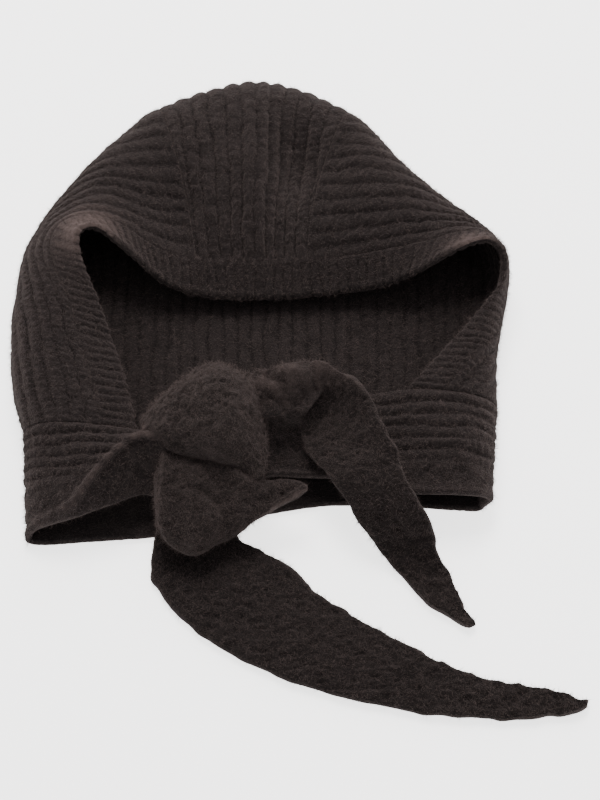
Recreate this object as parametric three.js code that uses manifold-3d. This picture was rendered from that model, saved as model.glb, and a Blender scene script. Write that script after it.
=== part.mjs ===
// A knit hood with long ties, laid on its back on a table with the ties knotted at the chin.
// Millimetres, +Z up. The crown points along +Y, the face opening looks up, and the ties run out along -Y.
// The wall is a thick brushed rib knit. Each panel is worked out on its middle surface and given its thickness there.

import * as THREE from 'three';
import Module from 'manifold-3d';

// Driving dimensions
const WALL = 5;                 // thickness of the rib knit
const SEAM = 0.4;               // gap left between two pieces
const CUT = 0.45;               // the same where one piece is cut round another
const PAD_EDGE = 3;             // thickness of a knot wrap at its edges
const FACE_BAND = 20;           // width of the ribbed band round the face
const LIE = WALL / 2;           // middle surface of cloth that lies on the table
const TUCK = 30;                // how far the side panels reach down the back beside the crown strip
const FRONT_STEPS = 26;         // points worked out along a profile, front layer
const FOLD_STEPS = 10;          // the same, round the outer fold
const DAY = 1e-3;               // step for slopes, as a share
const UP = new THREE.Vector3(0, 0, 1);

// A table is a list of rows with named columns.
function table(columns, rows) {
  return rows.map((row) => Object.fromEntries(columns.map((name, k) => [name, row[k]])));
}

// The hood, one row for each profile from the face edge out to the outer fold, from the left chin over
// the brim to the right chin: the face edge, the middle of the outer fold, how far the cloth rises above
// each of them on the way, and how far the profile bends sideways.
const hoodRows = table(['ex', 'ey', 'ez', 'ox', 'oy', 'oz', 'edgeRise', 'foldRise', 'bend'], [
  [-87, -38, 30, -149, -29, 13, 6, 20, 0],
  [-94, -8, 30, -156, -3, 14, 7, 21, 0],
  [-103, 21, 30, -159, 35, 14, 7, 21, 0],
  [-112, 47, 33, -157, 62, 15, 4, 20, 0],
  [-121, 69, 39, -154, 84, 16, -4, 16, 0],
  [-122, 82, 44, -147, 102, 16, -10, 12, 0],
  [-113, 85, 45, -139, 117, 16, -12, 12, 0],
  [-97, 74, 38, -119, 145, 16, -4, 20, 0],
  [-78, 62, 24, -101, 165, 16, 10, 26, 4],
  [-57, 58, 15, -82, 182, 16, 17, 30, 9],
  [-25, 57, 13, -25, 201, 16, 20, 30, 0],
  [6, 59, 13, 28, 180, 16, 18, 30, -18],
  [45, 62, 18, 59, 143, 16, 14, 26, -8],
  [67, 66, 28, 83, 119, 16, 4, 18, 0],
  [86, 74, 38, 99, 106, 16, -8, 12, 0],
  [103, 79, 42, 110, 93, 16, -10, 10, 0],
  [112, 74, 40, 115, 80, 16, -6, 8, 0],
  [113, 66, 33, 115.5, 68, 15, -3, 8, 0],
  [108, 53, 28, 113.5, 55, 14, 2, 10, 0],
  [97, 38, 26, 110.5, 38, 14, 5, 12, 0],
  [78, 15, 26, 107, 15, 13, 6, 14, 0],
  [58, -9, 26, 106.5, -13, 12, 5, 15, 0],
]);
const STRIP_FIRST = 9;          // rows where the crown strip starts and ends
const STRIP_LAST = 11;
const NAPE = { left: [-66, -24], right: [24, -19] };  // foot of the crown strip on the back

// Hollows and swells of the lying crown: place, reach along X and Y, and how far the front layer sinks.
const dents = table(['x', 'y', 'rx', 'ry', 'sink'], [
  [-2, 141, 16, 27, 11],
  [-26, 120, 9, 60, -3],
  [22, 140, 8, 34, 3],
  [-70, 110, 16, 22, 3],
]);

// Running length of a list of points, as shares of the whole, for the tables' own spacing.
function shares(gaps) {
  const sums = [0];
  gaps.forEach((gap) => sums.push(sums[sums.length - 1] + gap));
  return sums.map((sum) => sum / sums[sums.length - 1]);
}

// A smooth value between the rows of a table at share t: a cubic through each row, with slopes from its neighbours.
function between(at, values, t) {
  const last = at.length - 1;
  let k = 0;
  while (k < last - 1 && t > at[k + 1]) k += 1;
  const slope = (i) => {
    const a = Math.max(i - 1, 0);
    const b = Math.min(i + 1, last);
    return (values[b] - values[a]) / (at[b] - at[a]);
  };
  const span = at[k + 1] - at[k];
  const q = (t - at[k]) / span;
  const q2 = q * q;
  const q3 = q2 * q;
  return (2 * q3 - 3 * q2 + 1) * values[k] + (q3 - 2 * q2 + q) * span * slope(k)
    + (3 * q2 - 2 * q3) * values[k + 1] + (q3 - q2) * span * slope(k + 1);
}

// A table as a function of the share along it. Its spacing follows the named point columns.
function curveOf(rows, pointColumns) {
  const gaps = rows.slice(1).map((row, k) => pointColumns.reduce((sum, columns) => (
    sum + Math.hypot(...columns.map((name) => row[name] - rows[k][name]))), 0));
  const at = shares(gaps);
  const names = Object.keys(rows[0]);
  const lists = names.map((name) => rows.map((row) => row[name]));
  const value = (t) => Object.fromEntries(names.map((name, k) => [name, between(at, lists[k], t)]));
  return { at, value };
}

const hood = curveOf(hoodRows, [['ex', 'ey', 'ez'], ['ox', 'oy']]);
const U_LEFT = hood.at[STRIP_FIRST];
const U_RIGHT = hood.at[STRIP_LAST];

// Plan point on the table where the fold of profile u is heading: the foot of the strip for a strip profile,
// and a point on the strip's edge for a side profile.
function stripEdge(side, y) {
  const top = hood.value(side === 'left' ? U_LEFT : U_RIGHT);
  const foot = NAPE[side];
  const q = (y - foot[1]) / (top.oy - top.oz - foot[1]);
  return [foot[0] + (top.ox - foot[0]) * q, y];
}

function backTarget(u) {
  if (u >= U_LEFT && u <= U_RIGHT) {
    const q = (u - U_LEFT) / (U_RIGHT - U_LEFT);
    return [0, 1].map((k) => NAPE.left[k] + (NAPE.right[k] - NAPE.left[k]) * q);
  }
  const side = u < U_LEFT ? 'left' : 'right';
  const chin = hood.value(side === 'left' ? 0 : 1);
  const top = hood.value(side === 'left' ? U_LEFT : U_RIGHT);
  const q = (hood.value(u).oy - chin.oy) / (top.oy - chin.oy);
  const low = NAPE[side][1];
  return stripEdge(side, low + (top.oy - top.oz - TUCK - low) * q);
}

// One profile as a list of points: a curve over the front layer, a quarter round under the fold, and a
// straight run over the table.
function profile(u) {
  const row = hood.value(u);
  const target = backTarget(u);
  const away = new THREE.Vector2(target[0] - row.ox, target[1] - row.oy).normalize();
  const start = new THREE.Vector3(row.ex, row.ey, row.ez);
  const outer = new THREE.Vector3(row.ox, row.oy, row.oz);
  const first = start.clone().lerp(outer, 0.4).setZ(row.ez + row.edgeRise);
  first.x += row.bend;
  const second = outer.clone().setZ(row.oz + row.foldRise);
  const over = new THREE.CubicBezierCurve3(start, first, second, outer);
  const front = [];
  for (let k = 0; k <= FRONT_STEPS; k += 1) {
    const share = k / FRONT_STEPS;
    const p = over.getPoint(share);
    const free = Math.min(1, 4 * (1 - share)) * Math.min(1, 6 * share);
    dents.forEach((dent) => {
      const r2 = ((p.x - dent.x) / dent.rx) ** 2 + ((p.y - dent.y) / dent.ry) ** 2;
      p.z -= free * dent.sink * Math.exp(-r2);
    });
    front.push(p);
  }
  const fold = [];
  const run = row.oz;
  for (let k = 0; k <= FOLD_STEPS; k += 1) {
    const turn = (Math.PI / 2) * (k / FOLD_STEPS);
    const inward = run * (1 - Math.cos(turn));
    fold.push(new THREE.Vector3(row.ox + away.x * inward, row.oy + away.y * inward,
      row.oz - (row.oz - LIE) * Math.sin(turn)));
  }
  const under = fold[FOLD_STEPS];
  const end = new THREE.Vector3(target[0], target[1], LIE);
  const tuck = Math.min(TUCK, under.distanceTo(end));
  const tucked = new THREE.Vector3(under.x + away.x * tuck, under.y + away.y * tuck, LIE);
  return { front, fold, under, tucked, end };
}

// A polyline with its running length, and the point at a length along it.
function measured(points) {
  const lengths = [0];
  for (let k = 1; k < points.length; k += 1) {
    lengths.push(lengths[k - 1] + points[k].distanceTo(points[k - 1]));
  }
  const total = lengths[lengths.length - 1];
  const pointAt = (d) => {
    let k = 1;
    while (k < points.length - 1 && lengths[k] < d) k += 1;
    const q = (d - lengths[k - 1]) / (lengths[k] - lengths[k - 1] || 1);
    return points[k - 1].clone().lerp(points[k], q);
  };
  return { total, pointAt };
}

// Point of the hood at profile u. across runs 0 to 1 over the face band, 1 to 2 over the rest of the front layer,
// 2 to 3 round the outer fold, 3 to 4 over the table to the tuck beside the strip, and 4 to 5 on down the back.
const kept = new Map();
function pathOf(u) {
  if (!kept.has(u)) {
    const { front, fold, under, tucked, end } = profile(u);
    const inStrip = u >= U_LEFT && u <= U_RIGHT;
    kept.set(u, {
      front: measured(front),
      fold: measured(fold),
      tuck: measured([under, inStrip ? tucked : end]),
      back: measured([tucked, end]),
    });
  }
  return kept.get(u);
}

function hoodPoint(u, across) {
  const path = pathOf(THREE.MathUtils.clamp(u, 0, 1));
  const band = Math.min(FACE_BAND, 0.7 * path.front.total);
  if (across <= 1) return path.front.pointAt(band * across);
  if (across <= 2) return path.front.pointAt(band + (path.front.total - band) * (across - 1));
  if (across <= 3) return path.fold.pointAt(path.fold.total * (across - 2));
  if (across <= 4) return path.tuck.pointAt(path.tuck.total * (across - 3));
  return path.back.pointAt(path.back.total * (across - 4));
}

// Normal of the hood's middle surface, pointing into the hollow, from the slopes along and across the profiles.
function hoodNormal(u, across) {
  if (across > 3) return UP.clone();
  const before = hoodPoint(Math.max(u - DAY, 0), across);
  const along = hoodPoint(Math.min(u + DAY, 1), across).sub(before);
  const step = 0.02;
  const low = Math.max(across - step, 0);
  const over = hoodPoint(u, Math.min(across + step, 3)).sub(hoodPoint(u, low));
  return along.cross(over).negate().normalize();
}

// A wall on a grid of middle points. thick(i, j) is its thickness there. Both faces are offset along the
// normals, and a rim closes the four sides.
function wall(points, normals, thick) {
  const rows = points.length;
  const columns = points[0].length;
  const flat = [];
  [1, -1].forEach((side) => {
    points.forEach((row, i) => row.forEach((point, j) => {
      const p = point.clone().addScaledVector(normals[i][j], (side * thick(i, j)) / 2);
      flat.push(p.x, p.y, p.z);
    }));
  });
  const id = (side, i, j) => side * rows * columns + i * columns + j;
  const index = [];
  const at = (k) => new THREE.Vector3(flat[3 * k], flat[3 * k + 1], flat[3 * k + 2]);
  const quad = (a, b, c, d) => {
    const even = at(a).distanceTo(at(c)) <= at(b).distanceTo(at(d));
    index.push(...(even ? [a, b, c, a, c, d] : [a, b, d, b, c, d]));
  };
  for (let i = 0; i < rows - 1; i += 1) {
    for (let j = 0; j < columns - 1; j += 1) {
      quad(id(0, i, j), id(0, i, j + 1), id(0, i + 1, j + 1), id(0, i + 1, j));
      quad(id(1, i, j), id(1, i + 1, j), id(1, i + 1, j + 1), id(1, i, j + 1));
    }
  }
  for (let i = 0; i < rows - 1; i += 1) {
    quad(id(0, i, 0), id(0, i + 1, 0), id(1, i + 1, 0), id(1, i, 0));
    quad(id(0, i + 1, columns - 1), id(0, i, columns - 1), id(1, i, columns - 1), id(1, i + 1, columns - 1));
  }
  for (let j = 0; j < columns - 1; j += 1) {
    quad(id(0, 0, j + 1), id(0, 0, j), id(1, 0, j), id(1, 0, j + 1));
    quad(id(0, rows - 1, j), id(0, rows - 1, j + 1), id(1, rows - 1, j + 1), id(1, rows - 1, j));
  }
  const geometry = new THREE.BufferGeometry();
  geometry.setAttribute('position', new THREE.BufferAttribute(new Float32Array(flat), 3));
  geometry.setIndex(index);
  return geometry;
}

// Normals of a grid of points, from the neighbours on both sides of each one.
function gridNormals(points) {
  const rows = points.length - 1;
  const columns = points[0].length - 1;
  return points.map((row, i) => row.map((p, j) => {
    const along = points[Math.min(i + 1, rows)][j].clone().sub(points[Math.max(i - 1, 0)][j]);
    const over = points[i][Math.min(j + 1, columns)].clone().sub(points[i][Math.max(j - 1, 0)]);
    return over.cross(along).normalize();
  }));
}

// Even shares from a to b, both ends included.
function spread(a, b, steps) {
  return Array.from({ length: steps + 1 }, (_, k) => (k === steps ? b : a + ((b - a) * k) / steps));
}

// A panel of the hood between two profiles. Its seams at the named sides step back by half a gap.
function hoodPanel(us, acrosses, seams) {
  const half = SEAM / 2;
  const points = us.map((u) => acrosses.map((across) => hoodPoint(u, across)));
  const normals = us.map((u) => acrosses.map((across) => hoodNormal(u, across)));
  const rows = points.length - 1;
  const columns = points[0].length - 1;
  const original = points.map((row) => row.map((p) => p.clone()));
  original.forEach((row, i) => row.forEach((p, j) => {
    const back = (from) => points[i][j].addScaledVector(from.clone().sub(p).normalize(), half);
    if (seams.first && i === 0) back(original[1][j]);
    if (seams.last && i === rows) back(original[rows - 1][j]);
    if (seams.near && j === 0) back(original[i][1]);
    if (seams.far && j === columns) back(original[i][columns - 1]);
  }));
  return wall(points, normals, () => WALL);
}

const ACROSS_PANEL = [...spread(1, 2, 7), ...spread(2, 3, 5).slice(1), ...spread(3, 4, 3).slice(1)];
const US = {
  left: spread(0, U_LEFT, 20),
  strip: spread(U_LEFT, U_RIGHT, 8),
  right: spread(U_RIGHT, 1, 20),
};
const ALL_SEAMS = { first: true, last: true, near: true, far: true };
const faceBand = hoodPanel([...US.left, ...US.strip.slice(1, -1), ...US.right], spread(0, 1, 3),
  { far: true, first: true, last: true });
const sideLeft = hoodPanel(US.left, ACROSS_PANEL, ALL_SEAMS);
const sideRight = hoodPanel(US.right, ACROSS_PANEL, ALL_SEAMS);
const crownStrip = hoodPanel(US.strip, [...ACROSS_PANEL, ...spread(4, 5, 5).slice(1)], ALL_SEAMS);

// The neck band hangs on the lower edge of the hood, from the left chin round the back to the right chin, and
// both its ends run on into the knot. Its seam is the hood's own lower edge.
const EDGE_ACROSS = [...spread(0, 1, 3), ...ACROSS_PANEL.slice(1)];
const hoodEdge = [
  ...EDGE_ACROSS.map((across) => [0, across]),
  ...US.strip.slice(1, -1).map((u) => [u, 5]),
  ...EDGE_ACROSS.map((across) => [1, across]).reverse(),
];
const LEFT_END = [[-60, -47, 34], [-74, -42, 33]];
const RIGHT_END = [[36, -10, 21], [10, -13, 17], [-8, -17, 18], [-26, -28, 25]];
const vectors = (list) => list.map((p) => new THREE.Vector3(...p));
const edgePoints = hoodEdge.map(([u, across]) => hoodPoint(u, across));
const seamLine = [...vectors(LEFT_END), ...edgePoints, ...vectors(RIGHT_END)];

// The band below its seam. t counts from the left chin (0) to the right chin (1) along the seam: the way from
// seam to hem, how far a crease lifts the cloth between them, like a tent, and where across the band it lies.
const bandRows = table(['t', 'dx', 'dy', 'dz', 'rise', 'crease'], [
  [-0.08, 2, -19, -12, 7, 0.15],
  [-0.03, 6, -26, -12, 8, 0.15],
  [0, 8, -32, -11, 9, 0.2],
  [0.015, 8, -33, -11, 9, 0.28],
  [0.03, 8, -36, -11, 9, 0.38],
  [0.05, 8, -41, -11, 9, 0.52],
  [0.08, 7, -47, -12, 8, 0.74],
  [0.1, 7, -51, -12, 6, 0.88],
  [0.13, 6, -55, -12, 3, 0.94],
  [0.17, 4, -59, -10, 1, 0.94],
  [0.2, 3, -62, -6, 0, 0.9],
  [0.24, 1, -63, 0, 0, 0.5],
  [0.4, 0, -61, 0, 0, 0.5],
  [0.52, 0, -52, 0, 0, 0.5],
  [0.63, 0, -48, 0, 0, 0.5],
  [0.82, -2, -57, 0, 0, 0.5],
  [0.85, -7, -57, -2, 0, 0.5],
  [0.88, -2, -58, -4, 2, 0.5],
  [0.93, 1, -62, -2, 2, 0.5],
  [1, -6, -62, -3, 0, 0.5],
  [1.03, -6, -56, -2, 0, 0.5],
  [1.07, -6, -50, -1, 0, 0.5],
  [1.14, -4, -44, 0, 0, 0.5],
  [1.22, -2, -36, 0, 0, 0.5],
]);

function bandGrid() {
  const gaps = seamLine.slice(1).map((p, k) => p.distanceTo(seamLine[k]));
  const chin = LEFT_END.length;
  const lengths = gaps.reduce((sums, gap) => [...sums, sums[sums.length - 1] + gap], [0]);
  const whole = lengths[lengths.length - 1 - RIGHT_END.length] - lengths[chin];
  const at = bandRows.map((row) => row.t);
  const column = (name, t) => between(at, bandRows.map((row) => row[name]), t);
  return seamLine.map((seam, i) => {
    const t = (lengths[i] - lengths[chin]) / whole;
    return spread(0, 1, 6).map((share) => {
      const crease = column('crease', t);
      const side = Math.min(share / crease, (1 - share) / (1 - crease));
      const lift = column('rise', t) * side * (1.4 - 0.4 * side);
      return new THREE.Vector3(
        seam.x + column('dx', t) * share,
        seam.y + column('dy', t) * share - (share === 0 ? SEAM : 0),
        Math.max(seam.z + column('dz', t) * share + lift, LIE),
      );
    });
  });
}

// A strap of cloth between two edges, one row for each station: the left edge, the right edge, how far its
// middle swells, and its thickness.
const strapColumns = ['lx', 'ly', 'lz', 'rx', 'ry', 'rz', 'swell', 'thick'];

const tieLowerRows = table(strapColumns, [
  [-72, -66, 17, -40, -66, 17, 1, 8],
  [-77, -80, 12, -36, -76, 13, 1, 7],
  [-79, -96, 5, -33, -89, 5, 1, 6],
  [-80, -108, 3, -20, -96, 3, 1, 5],
  [-73, -123, 3, -6, -105, 3, 1, 5],
  [-61, -137, 3, 6, -117, 3, 1, 5],
  [-45, -151, 3, 21, -129, 3, 1, 5],
  [-20, -165, 3, 41, -142, 3, 1, 5],
  [14, -178, 3, 66, -156, 3, 1, 5],
  [49, -187, 3, 85, -166, 3, 0.5, 5],
  [81, -192, 3, 104, -172, 3, 0.5, 5],
  [112, -193, 3, 123, -175, 3, 0, 5],
  [133, -191, 3, 137, -179, 3, 0, 5],
  [149, -187, 3, 150, -183, 3, 0, 5],
]);

const tieRightRows = table(strapColumns, [
  [-26, -31, 35, -30, -12, 41, 3, 13],
  [-17, -30, 36, -16, -9, 43, 3, 13],
  [-9, -26, 36, -5, -8, 45, 4, 12],
  [-2, -21, 37, 6, -7, 46, 4, 11],
  [5, -15, 39, 17, -8, 47, 2, 8],
  [13, -14, 38, 28, -13, 47, 0, 7],
  [1, -28, 24, 38, -26, 45, -3, 6],
  [5, -50, 26, 47, -43, 42, 0, 5],
  [14, -63, 30, 53, -58, 37, 3, 5],
  [23, -76, 28, 58, -72, 34, 3, 5],
  [33, -87, 18, 68, -85, 24, 2, 5],
  [42, -96, 8, 73, -97, 12, 1, 5],
  [52, -108, 3, 80, -110, 3, 1, 5],
  [64, -123, 3, 86, -127, 3, 0, 5],
  [78, -134, 3, 90, -134, 3, 0, 5],
  [89, -141, 3, 93, -139, 3, 0, 5],
]);

// The two wraps of the knot are rolled cloth: padded shapes, thick in the middle and thin at their edges.
const knotUpperRows = table(strapColumns, [
  [-86, -37, 34, -84, -43, 34, 1, 6],
  [-82, -30, 34, -77, -47, 34, 2, 12],
  [-72, -21, 34, -67, -53, 34, 3, 24],
  [-63, -13, 35, -56, -56, 34, 4, 28],
  [-53, -5, 36, -46, -58, 34, 5, 31],
  [-45, -3, 37, -38, -61, 34, 5, 31],
  [-37, -5, 37, -32, -65, 34, 4, 28],
  [-29, -12, 36, -26, -70, 34, 3, 23],
  [-22, -24, 35, -22, -71, 33, 2, 18],
  [-18, -34, 34, -19, -68, 33, 1, 13],
  [-17, -43, 32, -18, -60, 32, 0, 7],
]);

const knotLowerRows = table(strapColumns, [
  [-79, -52, 28, -78, -66, 24, 0, 6],
  [-77, -46, 27, -76, -80, 20, 1, 14],
  [-71, -45, 26, -72, -95, 16, 2, 20],
  [-62, -46, 26, -62, -103, 15, 3, 22],
  [-52, -48, 26, -54, -104, 15, 3, 23],
  [-43, -51, 26, -45, -98, 15, 3, 22],
  [-34, -55, 27, -35, -94, 16, 3, 20],
  [-26, -61, 28, -27, -87, 18, 2, 15],
  [-17, -66, 29, -18, -83, 21, 0, 9],
  [-9, -66, 30, -10, -79, 24, -1, 6],
  [-1, -67, 30, -2, -76, 27, -1, 5],
  [4, -69, 29, 4, -72, 28, 0, 4],
]);

// The folds and creases on top of each wrap: straight in plan from the first point to the second, with a bell
// curve of this width and height across. A crease goes down.
const foldColumns = ['x0', 'y0', 'x1', 'y1', 'wide', 'high'];
const knotUpperFolds = table(foldColumns, [
  [-30, -20, -44, -60, 7, 2.5],
  [-17, -42, -30, -72, 11, -6],
  [-80, -46, -61, -50, 3, -2],
  [-53, -12, -60, -36, 4, -1.5],
]);
const knotLowerFolds = table(foldColumns, [
  [-53, -73, -43, -80, 2.5, -2],
  [-74, -52, -70, -98, 4.5, 3],
  [-40, -74, -34, -100, 7, -2.5],
  [-46, -60, -20, -71, 3, 2],
  [-29, -90, 4, -70, 2.5, 1.5],
]);

function foldHeight(folds, x, y) {
  return folds.reduce((sum, fold) => {
    const dx = fold.x1 - fold.x0;
    const dy = fold.y1 - fold.y0;
    const along = ((x - fold.x0) * dx + (y - fold.y0) * dy) / (dx * dx + dy * dy);
    const share = THREE.MathUtils.clamp(along, 0, 1);
    const far = Math.hypot(x - fold.x0 - dx * share, y - fold.y0 - dy * share);
    return sum + fold.high * Math.exp(-((far / fold.wide) ** 2));
  }, 0);
}

// The solid of a strap. A wrap of the knot is padded too: its half thickness across is the root of
// 1 - |2 share - 1| ** square, and it has folds on top. With grow set it is larger all round by that much.
function strap(rows, stations, columns, grow = 0, pad = null) {
  const curve = curveOf(rows, [['lx', 'ly', 'lz'], ['rx', 'ry', 'rz']]);
  const shareAcross = spread(0, 1, columns);
  const points = [];
  const thick = [];
  spread(0, 1, stations).forEach((t) => {
    const row = curve.value(t);
    const left = new THREE.Vector3(row.lx, row.ly, row.lz);
    const right = new THREE.Vector3(row.rx, row.ry, row.rz);
    const widen = grow / left.distanceTo(right);
    const line = [];
    const sizes = [];
    shareAcross.forEach((share) => {
      const p = left.clone().lerp(right, -widen + (1 + 2 * widen) * share);
      p.z = Math.max(p.z + row.swell * 4 * share * (1 - share), row.thick / 2);
      let size = row.thick;
      if (pad) {
        const round = Math.sqrt(1 - Math.abs(2 * share - 1) ** pad.square);
        const fold = foldHeight(pad.folds, p.x, p.y) * round;
        size = Math.max(row.thick * round, PAD_EDGE) + fold;
        p.z += fold / 2;
      }
      line.push(p);
      sizes.push(size + 2 * grow);
    });
    points.push(line);
    thick.push(sizes);
  });
  if (grow > 0) {
    const middle = points[Math.round(stations / 2)][Math.round(columns / 2)].clone();
    points.forEach((row) => row.forEach((p) => {
      const out = p.clone().sub(middle).setZ(0);
      p.addScaledVector(out, grow / Math.max(out.length(), grow));
    }));
  }
  const normals = pad ? points.map((row) => row.map(() => UP)) : gridNormals(points);
  return wall(points, normals, (i, j) => thick[i][j]);
}

// Cutting one solid by others. The largest body left over is kept.
const wasm = await Module();
wasm.setup();
function solidOf(geometry) {
  const mesh = new wasm.Mesh({
    numProp: 3,
    vertProperties: geometry.getAttribute('position').array,
    triVerts: new Uint32Array(geometry.index.array),
  });
  mesh.merge();
  return new wasm.Manifold(mesh);
}

function cutBy(geometry, cutters) {
  const rest = cutters.reduce((left, cutter) => left.subtract(solidOf(cutter)), solidOf(geometry));
  const largest = rest.decompose().reduce((best, body) => (body.volume() > best.volume() ? body : best));
  const mesh = largest.simplify(0.02).getMesh();
  const out = new THREE.BufferGeometry();
  out.setAttribute('position', new THREE.BufferAttribute(new Float32Array(mesh.vertProperties), 3));
  out.setIndex(new THREE.BufferAttribute(new Uint32Array(mesh.triVerts), 1));
  return out;
}

const upperWrap = (grow) => strap(knotUpperRows, 20, 10, grow, { square: 3, folds: knotUpperFolds });
const lowerWrap = (grow) => strap(knotLowerRows, 22, 10, grow, { square: 3.6, folds: knotLowerFolds });
const knot = [upperWrap(CUT), lowerWrap(CUT)];
const bandPoints = bandGrid();
const bandNormals = gridNormals(bandPoints);
hoodEdge.forEach(([u, across], k) => {
  bandNormals[k + LEFT_END.length][0] = hoodNormal(u, across);
});
const neckBand = cutBy(wall(bandPoints, bandNormals, () => WALL), knot);
const tieLower = cutBy(strap(tieLowerRows, 30, 5), knot);
const tieRight = cutBy(strap(tieRightRows, 36, 6), knot);
const knotLower = cutBy(lowerWrap(0), [upperWrap(CUT)]);

const parts = new THREE.Group();
function add(name, geometry, colour) {
  const material = new THREE.MeshStandardMaterial({ color: colour, roughness: 0.95, metalness: 0 });
  const mesh = new THREE.Mesh(geometry, material);
  mesh.name = name;
  parts.add(mesh);
}

add('neck_band', neckBand, 0x352b28);
add('tie_lower', tieLower, 0x332927);
add('tie_right', tieRight, 0x332927);
add('knot_upper_wrap', upperWrap(0), 0x3a302c);
add('knot_lower_wrap', knotLower, 0x3a302c);
add('face_band', faceBand, 0x3a302c);
add('side_panel_left', sideLeft, 0x332a27);
add('side_panel_right', sideRight, 0x332a27);
add('crown_strip', crownStrip, 0x362c29);

// The origin is on the table, under the middle of the whole lying piece.
const box = new THREE.Box3().setFromObject(parts);
parts.children.forEach((mesh) => {
  mesh.geometry.translate(-(box.min.x + box.max.x) / 2, -(box.min.y + box.max.y) / 2, 0);
});

export default parts;
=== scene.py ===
import math

import bpy
import numpy as np
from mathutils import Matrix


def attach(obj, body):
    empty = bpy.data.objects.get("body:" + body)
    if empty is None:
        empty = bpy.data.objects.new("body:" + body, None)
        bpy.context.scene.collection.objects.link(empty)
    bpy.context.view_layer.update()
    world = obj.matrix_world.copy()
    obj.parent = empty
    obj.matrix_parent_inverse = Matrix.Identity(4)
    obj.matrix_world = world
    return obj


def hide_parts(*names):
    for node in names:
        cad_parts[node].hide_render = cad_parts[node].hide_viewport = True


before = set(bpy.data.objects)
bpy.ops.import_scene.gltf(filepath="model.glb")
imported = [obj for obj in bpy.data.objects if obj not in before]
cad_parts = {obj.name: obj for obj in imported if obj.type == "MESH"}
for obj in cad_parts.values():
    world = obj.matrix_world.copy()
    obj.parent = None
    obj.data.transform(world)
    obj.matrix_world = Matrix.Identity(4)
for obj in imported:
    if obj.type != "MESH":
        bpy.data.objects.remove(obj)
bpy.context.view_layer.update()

# The table and the light: a pale table seen from above at 60 degrees, lit from above and behind, so that
# faces turned to the crown are bright and the faces turned to the ties are dark.
ORIGIN_MM = np.array([5.74, -5.26, 0.0])
SEEN_FROM_MM = 1500.0
ELEVATION = math.radians(60.0)
PHOTO_HEIGHT_MM = 444.0
SENSOR_MM = 36.0
TABLE_HALF = 12.0
TABLE_GLOW = 2.4
LAMP_WHITE = (1.0, 0.97, 0.95)
ROOM_WHITE = (0.975, 0.985, 1.02, 1.0)
ROOM_LIGHT = 0.72


def metres(points):
    """Millimetres in the lying hood's layout to metres in the frame: the origin's shift, then a thousandth."""
    return (np.asarray(points, dtype=float) + ORIGIN_MM) * 0.001


def add_camera():
    """The photograph's camera, which looks at the layout's own zero from the side of the ties."""
    camera = bpy.data.cameras.new("camera")
    camera.sensor_width = SENSOR_MM
    camera.lens = SENSOR_MM * SEEN_FROM_MM / PHOTO_HEIGHT_MM
    camera.clip_end = 20.0
    holder = bpy.data.objects.new("camera", camera)
    back = SEEN_FROM_MM * np.array([0.0, -math.cos(ELEVATION), math.sin(ELEVATION)])
    holder.location = metres(back)
    holder.rotation_euler = (math.pi / 2 - ELEVATION, 0.0, 0.0)
    bpy.context.scene.collection.objects.link(holder)
    bpy.context.scene.camera = holder


def add_lamp(name, place, size, watts):
    """A square soft box at place (metres), a little warm, that faces the middle of the table."""
    lamp = bpy.data.lights.new(name, "AREA")
    lamp.size = size
    lamp.energy = watts
    lamp.color = LAMP_WHITE
    holder = bpy.data.objects.new(name, lamp)
    way = -np.array(place)
    holder.location = place
    flat = math.hypot(way[0], way[1])
    holder.rotation_euler = (math.atan2(flat, -way[2]), 0.0, math.atan2(way[1], way[0]) - math.pi / 2)
    bpy.context.scene.collection.objects.link(holder)


class Value:
    """A number or colour that runs through a material, with + - * written as on numbers."""

    def __init__(self, look, socket):
        self.look = look
        self.socket = socket

    def sums(self, operation, first, second):
        return self.look.node("ShaderNodeMath", {"operation": operation}, {0: first, 1: second})

    def __add__(self, other):
        return self.sums("ADD", self, other)

    def __radd__(self, other):
        return self.sums("ADD", other, self)

    def __sub__(self, other):
        return self.sums("SUBTRACT", self, other)

    def __rsub__(self, other):
        return self.sums("SUBTRACT", other, self)

    def __mul__(self, other):
        return self.sums("MULTIPLY", self, other)

    def __rmul__(self, other):
        return self.sums("MULTIPLY", other, self)


class Look:
    """A material and its nodes."""

    def __init__(self, name):
        self.material = bpy.data.materials.new(name)
        self.material.use_nodes = True
        self.tree = self.material.node_tree
        self.tree.nodes.clear()

    def node(self, kind, settings, inputs, output=0):
        """Adds a node: its settings first, then a number, colour or Value on each named socket."""
        made = self.tree.nodes.new(kind)
        for name, setting in settings.items():
            setattr(made, name, setting)
        for name, given in inputs.items():
            if isinstance(given, Value):
                self.tree.links.new(given.socket, made.inputs[name])
            else:
                made.inputs[name].default_value = given
        return Value(self, made.outputs[output]) if made.outputs else None

    def blend(self, share, low, high):
        """Colour mixed from low to high by share."""
        return self.node("ShaderNodeMix", {"data_type": "RGBA"}, {0: share, 6: low, 7: high}, output=2)

    def noise(self, where, scale, detail, distortion=0.0):
        """Noise from 0 to 1, with scale features to the metre."""
        return self.node(
            "ShaderNodeTexNoise",
            {},
            {"Vector": where, "Scale": scale, "Detail": detail, "Distortion": distortion},
        )

    def between(self, value, low, high):
        """0 below low, 1 above high, eased between them."""
        return self.node(
            "ShaderNodeMapRange",
            {"interpolation_type": "SMOOTHSTEP"},
            {"Value": value, "From Min": low, "From Max": high},
        )


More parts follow.
